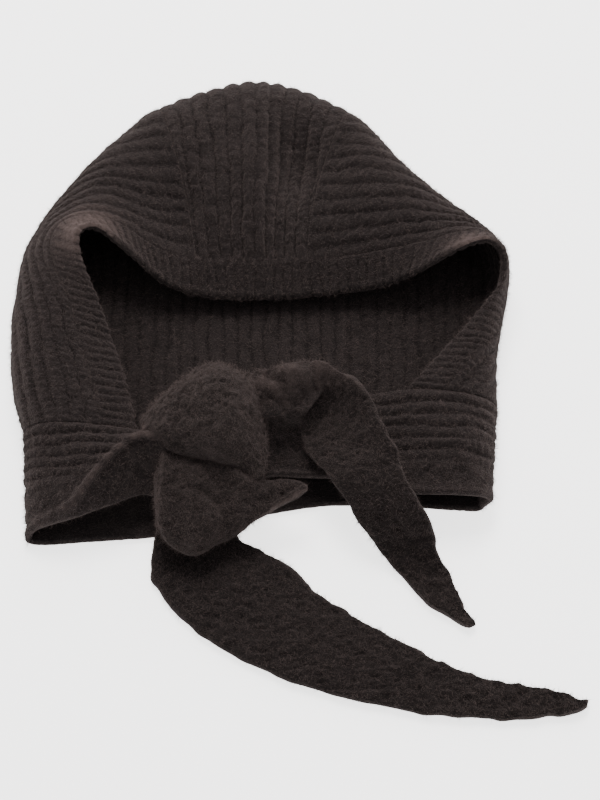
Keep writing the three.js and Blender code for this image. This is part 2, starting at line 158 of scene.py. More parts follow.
def paint_table():
    """Matt white card with the faintest grain that glows by its own emission, a painted glow that also lights the
    cloth from under, so that hardly a shadow shows on it.
    """
    look = Look("table_card")
    place = look.node("ShaderNodeTexCoord", {}, {}, output=3)
    grain = look.noise(place, 900.0, 2.0)
    colour = look.blend(grain, (0.84, 0.84, 0.84, 1.0), (0.88, 0.88, 0.88, 1.0))
    surface = look.node(
        "ShaderNodeBsdfPrincipled",
        {},
        {
            "Base Color": colour,
            "Roughness": 0.9,
            "Emission Color": (1.0, 0.99, 0.98, 1.0),
            "Emission Strength": TABLE_GLOW,
        },
    )
    look.node("ShaderNodeOutputMaterial", {}, {"Surface": surface})
    return look.material


def add_table():
    """A flat square under everything, wide enough to fill a low view too."""
    corners = [(x * TABLE_HALF, y * TABLE_HALF, 0) for x, y in ((-1, -1), (1, -1), (1, 1), (-1, 1))]
    mesh = bpy.data.meshes.new("table")
    mesh.from_pydata(corners, [], [(0, 1, 2, 3)])
    table = bpy.data.objects.new("table", mesh)
    bpy.context.scene.collection.objects.link(table)
    mesh.materials.append(paint_table())


def light_room():
    """Even light from all round, a little cool."""
    world = bpy.data.worlds.new("studio")
    world.use_nodes = True
    room = world.node_tree.nodes["Background"]
    room.inputs["Color"].default_value = ROOM_WHITE
    room.inputs["Strength"].default_value = ROOM_LIGHT
    bpy.context.scene.world = world


add_camera()
add_table()
light_room()
add_lamp("back_box", (-0.15, 1.05, 1.8), 0.9, 52.0)
add_lamp("rim_box", (0.5, 1.8, 0.9), 1.2, 26.0)

# Face band: a rib-knit band about 20 mm wide, picked up along the face edge and knitted outwards, so its narrow
# ribs cross it. It runs from the left chin over the brim to the right chin and flares where the hood folds.
WALL = 5.0
LIE = WALL / 2
BAND_WIDE = 20.0
BAND_RIB = 5.3
EDGE_THIN = 0.14
SEAM_HIGH = 0.62
STITCH = 4.2
TUCK = 30.0
FRONT_PULL = 0.4
FRONT_STATIONS = 61
FOLD_STATIONS = 13
BAND_MOST = 0.7
HOOD_COLUMNS = ("ex", "ey", "ez", "ox", "oy", "oz", "edge_rise", "fold_rise", "bend", "rib")
HOOD_ROWS = [
    (-87, -38, 30, -149, -29, 13, 6, 20, 0, 8.0),
    (-94, -8, 30, -156, -3, 14, 7, 21, 0, 8.0),
    (-103, 21, 30, -159, 35, 14, 7, 21, 0, 7.8),
    (-112, 47, 33, -157, 62, 15, 4, 20, 0, 7.2),
    (-121, 69, 39, -154, 84, 16, -4, 16, 0, 5.8),
    (-122, 82, 44, -147, 102, 16, -10, 12, 0, 5.0),
    (-113, 85, 45, -139, 117, 16, -12, 12, 0, 5.2),
    (-97, 74, 38, -119, 145, 16, -4, 20, 0, 7.2),
    (-78, 62, 24, -101, 165, 16, 10, 26, 4, 9.2),
    (-57, 58, 15, -82, 182, 16, 17, 30, 9, 10.2),
    (-25, 57, 13, -25, 201, 16, 20, 30, 0, 10.2),
    (6, 59, 13, 28, 180, 16, 18, 30, -18, 9.6),
    (45, 62, 18, 59, 143, 16, 14, 26, -8, 8.8),
    (67, 66, 28, 83, 119, 16, 4, 18, 0, 6.8),
    (86, 74, 38, 99, 106, 16, -8, 12, 0, 5.0),
    (103, 79, 42, 110, 93, 16, -10, 10, 0, 4.4),
    (112, 74, 40, 115, 80, 16, -6, 8, 0, 4.6),
    (113, 66, 33, 115.5, 68, 15, -3, 8, 0, 5.0),
    (108, 53, 28, 113.5, 55, 14, 2, 10, 0, 5.6),
    (97, 38, 26, 110.5, 38, 14, 5, 12, 0, 6.8),
    (78, 15, 26, 107, 15, 13, 6, 14, 0, 7.6),
    (58, -9, 26, 106.5, -13, 12, 5, 15, 0, 7.6),
]
STRIP_FIRST = 9
STRIP_LAST = 11
NAPE_LEFT = np.array([-66.0, -24.0])
NAPE_RIGHT = np.array([24.0, -19.0])
DENT_COLUMNS = ("x", "y", "rx", "ry", "sink")
DENT_ROWS = [
    (-2, 141, 16, 27, 11),
    (-26, 120, 9, 60, -3),
    (22, 140, 8, 34, 3),
    (-70, 110, 16, 22, 3),
]


def table(columns, rows):
    """Rows of numbers to one array for each named column."""
    return {name: np.array([row[k] for row in rows], dtype=float) for k, name in enumerate(columns)}


def through(at, values, t):
    """A cubic through each value, with slopes from the neighbours on both sides of it, read at t."""
    low = np.maximum(np.arange(len(at)) - 1, 0)
    high = np.minimum(np.arange(len(at)) + 1, len(at) - 1)
    slope = (values[high] - values[low]) / (at[high] - at[low])
    k = np.searchsorted(at[1:-1], t)
    span = at[k + 1] - at[k]
    q = (t - at[k]) / span
    return (
        (2 * q**3 - 3 * q**2 + 1) * values[k]
        + (q**3 - 2 * q**2 + q) * span * slope[k]
        + (3 * q**2 - 2 * q**3) * values[k + 1]
        + (q**3 - q**2) * span * slope[k + 1]
    )


def shares(tab, *points):
    """Where each row of a table lies, from 0 to 1, by the distances between the named points of its rows."""
    steps = sum(np.sqrt(sum(np.diff(tab[name]) ** 2 for name in names)) for names in points)
    run = np.concatenate([[0.0], np.cumsum(steps)])
    return run / run[-1]


def lengths(path):
    """Running length along the last but one axis of an array of points."""
    steps = np.linalg.norm(np.diff(path, axis=-2), axis=-1)
    return np.concatenate([np.zeros_like(steps[..., :1]), np.cumsum(steps, axis=-1)], axis=-1)


def point_at(path, distance):
    """Points at the given distances along each path: straight between the two stations on either side."""
    run = lengths(path)
    k = (run[:, None, 1:-1] < distance[:, :, None]).sum(-1)
    line = np.arange(len(path))[:, None]
    step = np.maximum(run[line, k + 1] - run[line, k], 1e-9)
    q = np.clip((distance - run[line, k]) / step, 0.0, 1.0)[..., None]
    return path[line, k] * (1 - q) + path[line, k + 1] * q


hood = table(HOOD_COLUMNS, HOOD_ROWS)
dents = table(DENT_COLUMNS, DENT_ROWS)
hood_at = shares(hood, ("ex", "ey", "ez"), ("ox", "oy"))
U_LEFT = hood_at[STRIP_FIRST]
U_RIGHT = hood_at[STRIP_LAST]


def hood_row(u):
    """The hood's table read at the profiles u."""
    return {name: through(hood_at, hood[name], np.asarray(u, dtype=float)) for name in hood}


def back_target(u):
    """Where each profile ends on the table: the strip's at the nape, the sides' on the strip's straight edge."""
    row = hood_row(u)
    q = np.clip((u - U_LEFT) / (U_RIGHT - U_LEFT), 0, 1)[:, None]
    target = NAPE_LEFT + (NAPE_RIGHT - NAPE_LEFT) * q
    ends = hood_row(np.array([0.0, U_LEFT, U_RIGHT, 1.0]))
    for side, foot, chin, top in ((u < U_LEFT, NAPE_LEFT, 0, 1), (u > U_RIGHT, NAPE_RIGHT, 3, 2)):
        share = (row["oy"] - ends["oy"][chin]) / (ends["oy"][top] - ends["oy"][chin])
        high = ends["oy"][top] - ends["oz"][top]
        y = foot[1] + (high - TUCK - foot[1]) * share
        x = foot[0] + (ends["ox"][top] - foot[0]) * (y - foot[1]) / (high - foot[1])
        target = np.where(side[:, None], np.stack([x, y], -1), target)
    return target


def hood_paths(u):
    """The four stretches of each profile: a cubic curve over the front layer, a quarter round under the fold, a
    straight run over the table to the tuck, and a straight run on down the back."""
    row = hood_row(u)
    target = back_target(u)
    start = np.stack([row["ex"], row["ey"], row["ez"]], -1)
    outer = np.stack([row["ox"], row["oy"], row["oz"]], -1)
    first = start + FRONT_PULL * (outer - start)
    first[:, 0] += row["bend"]
    first[:, 2] = row["ez"] + row["edge_rise"]
    second = outer.copy()
    second[:, 2] += row["fold_rise"]
    s = np.linspace(0, 1, FRONT_STATIONS)[None, :, None]
    front = (
        (1 - s) ** 3 * start[:, None]
        + 3 * s * (1 - s) ** 2 * first[:, None]
        + 3 * s**2 * (1 - s) * second[:, None]
        + s**3 * outer[:, None]
    )
    free = np.minimum(1, 4 * (1 - s[..., 0])) * np.minimum(1, 6 * s[..., 0])
    for k in range(len(dents["x"])):
        far = ((front[..., 0] - dents["x"][k]) / dents["rx"][k]) ** 2
        far = far + ((front[..., 1] - dents["y"][k]) / dents["ry"][k]) ** 2
        front[..., 2] -= free * dents["sink"][k] * np.exp(-far)
    away = target - outer[:, :2]
    away /= np.linalg.norm(away, axis=1, keepdims=True)
    turn = np.linspace(0, math.pi / 2, FOLD_STATIONS)[None, :]
    inward = row["oz"][:, None] * (1 - np.cos(turn))
    fold = np.concatenate(
        [
            outer[:, None, :2] + away[:, None] * inward[..., None],
            (row["oz"][:, None] - (row["oz"] - LIE)[:, None] * np.sin(turn))[..., None],
        ],
        -1,
    )
    under = fold[:, -1]
    end = np.concatenate([target, np.full((len(u), 1), LIE)], -1)
    reach = np.minimum(TUCK, np.linalg.norm(end - under, axis=1))[:, None]
    tucked = under.copy()
    tucked[:, :2] += away * reach
    in_strip = ((u >= U_LEFT) & (u <= U_RIGHT))[:, None]
    tuck = np.stack([under, np.where(in_strip, tucked, end)], 1)
    return front, fold, tuck, np.stack([tucked, end], 1)


def hood_surface(u, across):
    """Middle points of the hood on profiles u. across runs 0 to 1 over the face band, 1 to 2 over the rest of
    the front layer, 2 to 3 round the fold, 3 to 4 to the tuck, and 4 to 5 on down the back."""
    front, fold, tuck, back = hood_paths(u)
    total = [lengths(path)[:, -1:] for path in (front, fold, tuck, back)]
    band = np.minimum(BAND_WIDE, BAND_MOST * total[0])
    stretches = [
        (
            front,
            band * np.clip(across, 0, 1) + (total[0] - band) * np.clip(across - 1, 0, 1),
            across <= 2,
        ),
        (fold, total[1] * np.clip(across - 2, 0, 1), (across > 2) & (across <= 3)),
        (tuck, total[2] * np.clip(across - 3, 0, 1), (across > 3) & (across <= 4)),
        (back, total[3] * np.clip(across - 4, 0, 1), across > 4),
    ]
    points = np.zeros((len(u), len(across), 3))
    for path, distance, here in stretches:
        if here.any():
            points[:, here] = point_at(path, distance[:, here])
    return points


def normals_of(points):
    """Unit normal of a grid of points: the slope down the rows crossed with the slope along them."""
    normal = np.cross(np.gradient(points, axis=0), np.gradient(points, axis=1))
    return normal / np.maximum(np.linalg.norm(normal, axis=-1, keepdims=True), 1e-9)


def lumps(a, b, seed):
    """Smooth noise from -1 to 1: a random height on each whole number of a and b, eased between them."""
    heights = np.random.default_rng(seed).uniform(-1, 1, (128, 128))
    i, j = np.floor(a).astype(int), np.floor(b).astype(int)
    f, g = a - i, b - j
    f, g = f * f * (3 - 2 * f), g * g * (3 - 2 * g)
    top = heights[i % 128, j % 128] * (1 - f) + heights[(i + 1) % 128, j % 128] * f
    low = heights[i % 128, (j + 1) % 128] * (1 - f) + heights[(i + 1) % 128, (j + 1) % 128] * f
    return top * (1 - g) + low * g


def clumps(points, size, seed):
    """The same noise in space: random heights on a lattice of cubes with sides of size, eased between them."""
    heights = np.random.default_rng(seed).uniform(-1, 1, (64, 64, 64))
    place = points / size
    low = np.floor(place).astype(int)
    share = place - low
    share = share * share * (3 - 2 * share)
    total = np.zeros(points.shape[:-1])
    for corner in np.ndindex(2, 2, 2):
        weight = np.prod(np.where(corner, share, 1 - share), axis=-1)
        x, y, z = np.moveaxis((low + corner) % 64, -1, 0)
        total += weight * heights[x, y, z]
    return total


def rib_relief(rib, row, seed, stitch_high=0.12):
    """Height of rib knit from 0 to 1. rib and row count ribs and stitches. Each rib is a round ridge with a
    narrow groove on each side, and its stitches are Vs: a wave along the rib, set back towards the rib's edges.
    Each rib starts its stitches at a place of its own, and hairs bridge the grooves here and there."""
    rib = rib + 0.18 * lumps(rib * 0.6, row * 0.22, seed) + 0.09 * lumps(rib * 1.5, row * 0.9, seed + 5)
    own = np.random.default_rng(seed).random(256)[np.floor(rib).astype(int) % 256]
    row = row + own + 0.35 * lumps(rib * 0.7, row * 0.4, seed + 1)
    side = np.abs(2 * (rib - np.floor(rib)) - 1)
    bridged = 0.88 + 0.22 * lumps(rib * 1.1 + 0.5, row * 0.9, seed + 9)
    ridge = 1 - side**2 * bridged
    stitch = np.cos(2 * math.pi * (row - 0.40 * side))
    uneven = 0.18 * lumps(rib * 1.3, row * 1.1, seed + 2) + 0.18 * lumps(rib * 3.7, row * 2.3, seed + 7)
    return ridge * (0.76 + stitch_high * stitch) + uneven * (0.35 + 0.65 * ridge)


def from_ends(count, first, last):
    """Along one side of a grid: 0 at its two ends, rising evenly to 1 first or last steps away from them."""
    step = np.arange(count)
    near = np.minimum((step + 1e-6) / max(first, 1e-9), (count - 1 - step + 1e-6) / max(last, 1e-9))
    return np.clip(near, 0, 1)


def met(count, first, last):
    """Share of the relief along one side of a grid: none on a seam, and all of it first or last steps away."""
    near = from_ends(count, first, last)
    return near * near * (3 - 2 * near)


def rounded(count, first, last):
    """Share of full thickness along one side of a grid: a quarter round over the first and the last steps."""
    near = from_ends(count, first, last)
    return np.sqrt(1 - (1 - near) ** 2) * (1 - EDGE_THIN) + EDGE_THIN


def shell(name, middle, over, under, marks, skip=(2, 2)):
    """A closed wall on a grid of middle points: the outer face lies over millimetres along the normals, and the
    inner face, on every skip-th row and column of the grid, lies under millimetres the other way. A flat-shaded
    rim joins the two all round. marks holds the relief of both faces, with the lifts for the painted highlights,
    and is kept on the points, where the wool reads it for its painted shade and highlight."""
    normal = normals_of(middle)
    thin = (slice(None, None, skip[0]), slice(None, None, skip[1]))
    outer = middle + normal * over[..., None]
    inner = (middle - normal * under[..., None])[thin]
    top = np.arange(over.size).reshape(over.shape)
    low = over.size + np.arange(inner[..., 0].size).reshape(inner.shape[:2])

    def halves(a, b, c, d):
        return np.concatenate([np.stack([a, b, c], -1).reshape(-1, 3), np.stack([a, c, d], -1).reshape(-1, 3)])

    def rim(edge, base):
        pace = (len(edge) - 1) // (len(base) - 1)
        turn = (pace + 1) // 2
        steps = [*edge[:-1].reshape(-1, pace).T, edge[pace::pace]]
        fans = [(steps[k], steps[k + 1], base[:-1] if k < turn else base[1:]) for k in range(pace)]
        return np.concatenate([np.stack(fan, -1) for fan in (*fans, (steps[turn], base[1:], base[:-1]))])

    faces = [
        halves(top[:-1, :-1], top[1:, :-1], top[1:, 1:], top[:-1, 1:]),
        halves(low[:-1, :-1], low[:-1, 1:], low[1:, 1:], low[1:, :-1]),
    ]
    rims = [
        rim(top[0], low[0]),
        rim(top[:, -1], low[:, -1]),
        rim(top[-1, ::-1], low[-1, ::-1]),
        rim(top[::-1, 0], low[::-1, 0]),
    ]
    points = np.concatenate([outer.reshape(-1, 3), inner.reshape(-1, 3)])
    kept = np.concatenate([marks[0].ravel(), marks[1][thin].ravel()])
    smooth = sum(len(group) for group in faces)
    return mesh_of(name, metres(points), np.concatenate(faces + rims), kept, smooth)


def above_table(middle, over, under):
    """The two offsets of a wall, cut short where its outer or its inner face would go through the table."""
    slope = normals_of(middle)[..., 2]
    room = np.maximum(middle[..., 2] - 0.1, 0.4) / np.maximum(np.abs(slope), 0.3)
    over = np.where(slope < 0, np.minimum(over, room), over)
    return over, np.where(slope > 0, np.minimum(under, room), under)


def mesh_of(name, points, faces, marks, smooth):
    """An object of triangles, of which the first ones, smooth of them, are shaded smooth."""
    corners = faces.shape[1]
    mesh = bpy.data.meshes.new(name)
    mesh.vertices.add(len(points))
    mesh.vertices.foreach_set("co", points.astype(np.float32).ravel())
    mesh.loops.add(faces.size)
    mesh.loops.foreach_set("vertex_index", faces.astype(np.int32).ravel())
    mesh.polygons.add(len(faces))
    mesh.polygons.foreach_set("loop_start", np.arange(0, faces.size, corners, dtype=np.int32))
    mesh.polygons.foreach_set("use_smooth", np.arange(len(faces)) < smooth)
    # The relief attribute also carries the lifts for the painted highlights; the wool reads it for its painted
    # shade and highlight.
    kept = mesh.attributes.new("relief", "FLOAT", "POINT")
    kept.data.foreach_set("value", marks.astype(np.float32))
    mesh.update()
    mesh.validate()
    piece = bpy.data.objects.new(name, mesh)
    bpy.context.scene.collection.objects.link(piece)
    return piece


# The pale colour of the painted highlight, where the relief marks go over 1.1: on the face corners, the neck
# band's crease roll and hem bead, the ties' bends and the knot's rims.
HIGHLIGHT_PALE = (0.088, 0.064, 0.058, 1.0)


def paint_wool(name, deep, mid, pale, groove_shade, nap):
    """Brushed brown wool, mottled in patches, with pale hairs over it by nap. The hairs are thin noise stretched
    out by its own distortion, and they also stand up as a fine bump. The relief kept on the points carries
    painted light and shade: painted shade darkens the cloth in the grooves by groove_shade, and more still where
    the relief goes below 0.35; where it goes over 1.1 the cloth is painted paler, a painted highlight, and more
    pale hairs show there."""
    look = Look(name)
    place = look.node("ShaderNodeTexCoord", {}, {}, output=3)
    relief = look.node("ShaderNodeAttribute", {"attribute_name": "relief"}, {}, output=2)
    patches = look.noise(place, 55.0, 3.0)
    hairs = look.noise(place, 900.0, 3.0, 1.8)
    strands = look.noise(place, 380.0, 4.0, 2.6)
    # Painted shade: darker where the relief is low, in the grooves, mixed with the random mottling of the patches
    # and strands.
    shade_and_mottle = look.between(groove_shade * (relief - 0.5) + 0.6 * (patches - 0.5) + 0.8 * (strands - 0.5), -0.55, 0.55)
    colour = look.blend(shade_and_mottle, deep, mid)
    # Painted highlight: paler where the relief marks go over 1.1.
    highlit = look.between(relief, 1.1, 2.2)
    colour = look.blend(look.between(hairs + 0.22 * highlit, 0.50, 0.72) * nap, colour, pale)
    # Painted shade again, darker still in the deepest grooves and the seam grooves, then the painted highlight's
    # pale colour over it.
    colour = look.blend(look.between(relief, 0.35, 0.0) * 0.6, colour, deep)
    colour = look.blend(highlit * 0.8, colour, HIGHLIGHT_PALE)
    height = hairs * 0.6 + strands
    bump = look.node("ShaderNodeBump", {}, {"Strength": 0.8, "Distance": 0.0016, "Height": height})
    surface = look.node(
        "ShaderNodeBsdfPrincipled",
        {},
        {
            "Base Color": colour,
            "Normal": bump,
            "Roughness": 0.95,
            "Specular IOR Level": 0.08,
            "Sheen Weight": 0.18,
            "Sheen Roughness": 0.45,
            "Sheen Tint": (0.60, 0.47, 0.44, 1.0),
        },
    )
    look.node("ShaderNodeOutputMaterial", {}, {"Surface": surface})
    return look.material


def paint_hair():
    """The loose hairs that stand out of brushed wool, a little paler than the cloth."""
    look = Look("loose_hair")
    place = look.node("ShaderNodeTexCoord", {}, {}, output=3)
    tone = look.noise(place, 260.0, 2.0)
    colour = look.blend(tone, (0.030, 0.0220, 0.0205, 1.0), (0.125, 0.093, 0.085, 1.0))
    surface = look.node(
        "ShaderNodeBsdfPrincipled", {}, {"Base Color": colour, "Roughness": 0.8, "Specular IOR Level": 0.15}
    )
    look.node("ShaderNodeOutputMaterial", {}, {"Surface": surface})
    return look.material


rib_wool = paint_wool(
    "rib_knit_wool",
    (0.0052, 0.0041, 0.0041, 1.0),
    (0.0152, 0.0119, 0.0115, 1.0),
    (0.0430, 0.0330, 0.0310, 1.0),
    groove_shade=0.9,
    nap=0.7,
)
hair = paint_hair()
HAIR_LOWEST = 1.6
HAIR_ROOT = 0.25
HAIR_LONG = (1.4, 4.4)
HAIR_THICK = (0.06, 0.12)
HAIR_OFF_TABLE = 0.2


def fuzz(name, face, normal, count, seed, rise=0.65):
    """Loose hairs on a grid of face points: slim four-faced spikes, rooted on random spots of even density. Each
    leans by its share of the normal (rise) against a random way along the cloth. There are none where the cloth
    lies against the table, nor on the cells where normal changes from one face of the wall to the other."""
    rng = np.random.default_rng(seed)
    face = face - HAIR_ROOT * normal
    corner = np.cross(face[1:, :-1] - face[:-1, :-1], face[:-1, 1:] - face[:-1, :-1])
    size = np.linalg.norm(corner, axis=-1)
    size[(normal[:-1, :-1] * normal[1:, 1:]).sum(-1) < 0] = 0
    size[face[:-1, :-1, 2] < HAIR_LOWEST] = 0
    spot = rng.choice(size.size, count, p=size.ravel() / size.sum())
    i, j = np.unravel_index(spot, size.shape)
    f, g = rng.random((2, count, 1))
    root = (face[i, j] * (1 - f) + face[i + 1, j] * f) * (1 - g)
    root += (face[i, j + 1] * (1 - f) + face[i + 1, j + 1] * f) * g
    up = normal[i, j]
    way = rng.normal(size=(count, 3))
    way -= (way * up).sum(-1, keepdims=True) * up
    way /= np.linalg.norm(way, axis=-1, keepdims=True)
    lean = rise * rng.random((count, 1)) ** 0.8
    aim = up * lean + way * (1 - lean)
    aim /= np.linalg.norm(aim, axis=-1, keepdims=True)
    long = rng.uniform(*HAIR_LONG, (count, 1))
    thick = rng.uniform(*HAIR_THICK, (count, 1))
    cross = np.cross(aim, up)
    cross /= np.linalg.norm(cross, axis=-1, keepdims=True)
    other = np.cross(aim, cross)
    turns = [(0.0, 1.0), (-0.866, -0.5), (0.866, -0.5)]
    ring = [root + thick * (cross * a + other * b) for a, b in turns]
    points = np.stack([*ring, root + aim * long], 1).reshape(-1, 3)
    points[:, 2] = np.maximum(points[:, 2], HAIR_OFF_TABLE)
    first = 4 * np.arange(count)[:, None]
    faces = np.concatenate([first + np.array(f) for f in ((0, 1, 2), (1, 0, 3), (2, 1, 3), (0, 2, 3))])
    piece = mesh_of(name, metres(points), faces, np.ones(4 * count), len(faces))
    piece.data.materials.append(hair)
    return piece


def dress(piece, wool, node, flat, hairs):
    """Gives a knit piece and its hairs their place in the frame, and the piece its wool. flat, its cut size as a
    sheet of cloth laid down, is not used.
    """
    piece.data.materials.append(wool)
    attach(piece, "root")
    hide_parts(node)
    for loose in hairs:
        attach(loose, "root")


# The two corners of the face opening, where the folds stretch the cloth flat and the cloth is painted paler, a
# painted highlight.
FACE_CORNERS = [(-119, 86, 24), (96, 76, 17)]
CORNER_HIGHLIGHT = 1.4
CORNER_FLAT = 0.8
SEAM_LOW = 0.3
OUTER_AT = 1.9
INNER_AT = 2.1
INNER_DEEP = 1.8
LAP_SUNK = 0.7
# The face edge curls into a low roll and is drawn in at each rib; over the side folds the ribs are pulled flat.
FACE_ROLL = 0.5
FACE_DRAWN = 0.28
SCALLOP = 1.5
SCALLOP_AT = 4
STRETCHED = 0.4


def near_places(points, places):
    """How near each point lies to the places: a bell curve round each place, summed. It sets where a painted
    highlight goes, where the face corners' ribs are pulled flat, and where the ties are rougher.
    """
    total = np.zeros(points.shape[:-1])
    for x, y, wide in places:
        total += np.exp(-(((points[..., 0] - x) ** 2 + (points[..., 1] - y) ** 2) / wide**2))
    return total


def hood_piece(name, u, across, relief_of, deep, seams, hems, hair_count, seed, skip=(2, 2), lap=0.0):
    """A panel of the hood with its relief, grooves deep millimetres in, which fades to one height on the seams at
    the ends of across and to a lower one, like a groove, on the seams at the ends of u. seams and hems give the
    steps over which the relief fades and the wall thins at the ends of u and of across. lap stretches the last
    line of across past its end, and it goes down there, under the next panel. The face band alone ends at across
    1. Its edge is drawn in between the ribs, by the relief's height. The hairs are outside, and inside where the
    panel lies on the table."""
    middle = hood_surface(u, across)
    end = middle[:, -1] - middle[:, -2]
    middle[:, -1] += lap * end / np.linalg.norm(end, axis=-1, keepdims=True)
    outside, inside = relief_of(middle)
    is_band = across[-1] < 1.1
    if is_band:
        pull = np.clip(1 - across / FACE_DRAWN, 0, 1)[None, :, None] * (outside[:, SCALLOP_AT, None, None] - 0.6)
        outward = (middle[:, :1] - middle[:, 1:2]) / lengths(middle)[:, 1, None, None]
        middle = middle + SCALLOP * pull * outward
    # Round the face corners the ribs are pulled flat, and the cloth is painted paler there, a painted highlight.
    nap = near_places(middle, FACE_CORNERS)
    first, second = met(len(u), *seams[0])[:, None], met(len(across), *seams[1])[None, :]
    seam = SEAM_HIGH + (SEAM_LOW - SEAM_HIGH) * (1 - first) * second
    fade = first * second
    outside = seam + (outside - seam) * fade * (1 - CORNER_FLAT * np.minimum(nap, 1))
    inside = seam + (inside - seam) * fade
    edge = np.outer(rounded(len(u), *hems[0]), rounded(len(across), *hems[1]))
    tucked = np.where((across > 1) & is_band, LAP_SUNK, 0.0)
    tucked[-1] = LAP_SUNK if lap else tucked[-1]
    rolled = FACE_ROLL * np.exp(-(((across - 0.12) / 0.13) ** 2))
    flat = 1 - STRETCHED * np.exp(-(((across - 2.2) / 0.45) ** 2))
    over = edge * (OUTER_AT + deep * flat * (outside - SEAM_HIGH) + rolled) - tucked
    under = edge * (INNER_AT + INNER_DEEP * (inside - SEAM_HIGH) + 0.6 * rolled)
    over, under = above_table(middle, over, under)
    # The outer marks carry the corners' painted highlight.
    piece = shell(name, middle, over, under, np.stack([outside + CORNER_HIGHLIGHT * nap, inside]), skip)
    normal = normals_of(middle)
    front = (across <= 3)[None, :, None]
    face = np.where(front, middle + normal * over[..., None], middle - normal * under[..., None])
    loose = fuzz(name + "_hair", face, np.where(front, normal, -normal), hair_count, seed)
    return piece, loose


def band_relief(middle):
    """Narrow ribs across the band: ribs counted along the face edge, stitches counted out from it."""
    along = lengths(middle.transpose(1, 0, 2)).T
    mid = along[:, along.shape[1] // 2][:, None]
    out = lengths(middle)
    rib = np.broadcast_to(mid / BAND_RIB, out.shape)
    row = out / STITCH
    return rib_relief(rib, row, 11), rib_relief(rib + 0.5, row, 14)


face_band, face_hair = hood_piece(
    "face_band_knit",
    np.linspace(0, 1, 701),
    np.linspace(0, 1.03, 19),
    band_relief,
    1.2,
    ((0, 0), (0, 3)),
    ((3, 3), (3, 0)),
    9000,
    21,
)
dress(face_band, rib_wool, "face_band", (0.57, 0.02), [face_hair])

# Side panels: the two sides of the hood in bulky rib. Their ribs rise from the neck band, follow the face edge
# round the shoulder, crowd together there, and end square against the crown strip, where they are knitted off.
BACK_RIB = 7.8
HAND_OVER = (2.5, 2.9)


def steps_of(*stretches):
    """Stations along a panel: for each stretch its first and last value and how many steps it takes."""
    lists = [np.linspace(low, high, steps, endpoint=False) for low, high, steps in stretches]
    return np.concatenate([*lists, [stretches[-1][1]]])


def eased(value, low, high):
    """0 below low, 1 above high, a smooth step between."""
    q = np.clip((value - low) / (high - low), 0, 1)
    return q * q * (3 - 2 * q)


def back_rib(middle, seed):
    """The back's own rib: straight up and down, counted across the table."""
    rib, row = middle[..., 0] / BACK_RIB, middle[..., 1] / STITCH
    return rib_relief(rib, row, seed), rib_relief(rib + 0.5, row, seed + 3)


def side_relief_of(u, across, seed):
    """Ribs counted out from the face band in the table's rib widths, which hand over to the back's rib at the
    fold."""

    def relief(middle):
        rib = lengths(middle) / hood_row(u)["rib"][:, None]
        row = lengths(middle.transpose(1, 0, 2)).T / STITCH
        share = eased(across, *HAND_OVER)[None, :]
        back_over, back_under = back_rib(middle, seed + 10)
        over = rib_relief(rib, row, seed) * (1 - share) + back_over * share
        under = rib_relief(rib + 0.5, row, seed + 3) * (1 - share) + back_under * share
        return over, under

    return relief


SIDE_ACROSS = steps_of((0.98, 2, 100), (2, 3, 12), (3, 4, 50))
SIDE_LAP = 1.5
SIDE_WIDE = 0.16
SIDES = [("left", 0.0, U_LEFT, 31, 0.0283), ("right", U_RIGHT, 1.0, 51, 0.0241)]
for side, start, stop, seed, area in SIDES:
    side_u = np.linspace(start, stop, 241)
    panel, panel_hair = hood_piece(
        f"side_panel_{side}_knit",
        side_u,
        SIDE_ACROSS,
        side_relief_of(side_u, SIDE_ACROSS, seed),
        1.65,
        ((3, 3), (2, 0)),
        ((0, 0), (0, 0)),
        15000,
        seed + 20,
        skip=(2, 1),
        lap=SIDE_LAP,
    )
    dress(panel, rib_wool, f"side_panel_{side}", (SIDE_WIDE, area / SIDE_WIDE), [panel_hair])

# Crown strip: the strip between the two sides. Its ribs fan up from the brim, turn over the crown and go straight
# down the back to the nape, where the wearer's neck goes in.
STRIP_RIBS_BRIM = 10.0
STRIP_RIBS_TOP = 12.0


def strip_relief_of(u, across):
    """Ribs counted from side to side, more of them towards the top, which hand over to the back's rib at the
    fold."""

    def relief(middle):
        place = (u - U_LEFT) / (U_RIGHT - U_LEFT) - 0.5
        count = STRIP_RIBS_BRIM + (STRIP_RIBS_TOP - STRIP_RIBS_BRIM) * eased(across, 1.0, 2.0)
        rib = place[:, None] * count[None, :]
        row = lengths(middle) / STITCH
        share = eased(across, *HAND_OVER)[None, :]
        back_over, back_under = back_rib(middle, 75)
        over = rib_relief(rib, row, 71, 0.06) * (1 - share) + back_over * share
        under = rib_relief(rib + 0.5, row, 74) * (1 - share) + back_under * share
        return over, under

    return relief


strip_u = np.linspace(U_LEFT, U_RIGHT, 113)
strip_across = steps_of((0.98, 2, 104), (2, 3, 14), (3, 4, 20), (4, 5, 118))
strip, strip_hair = hood_piece(
    "crown_strip_knit",
    strip_u,
    strip_across,
    strip_relief_of(strip_u, strip_across),
    2.8,
    ((2, 2), (2, 0)),
    ((0, 0), (0, 0)),
    15000,
    91,
    skip=(1, 2),
)
dress(strip, rib_wool, "crown_strip", (0.10, 0.355), [strip_hair])

# Neck band: a wide band knitted down from the hood, five to six ribs along it and then plain rows to the hem.
# It goes from the left chin round the back to the right chin, and both ends narrow and run into the knot.
LEFT_END = [(-60, -47, 34), (-74, -42, 33)]
RIGHT_END = [(36, -10, 21), (10, -13, 17), (-8, -17, 18), (-26, -28, 25)]
NECK_RIB = 6.3
NECK_RIB_WIDER = 0.9
NECK_RIBS = 5.0
NECK_RIBS_MORE = 1.4
NECK_DEEP = 2.0
NECK_INNER_DEEP = 1.4
NECK_LINES = 73
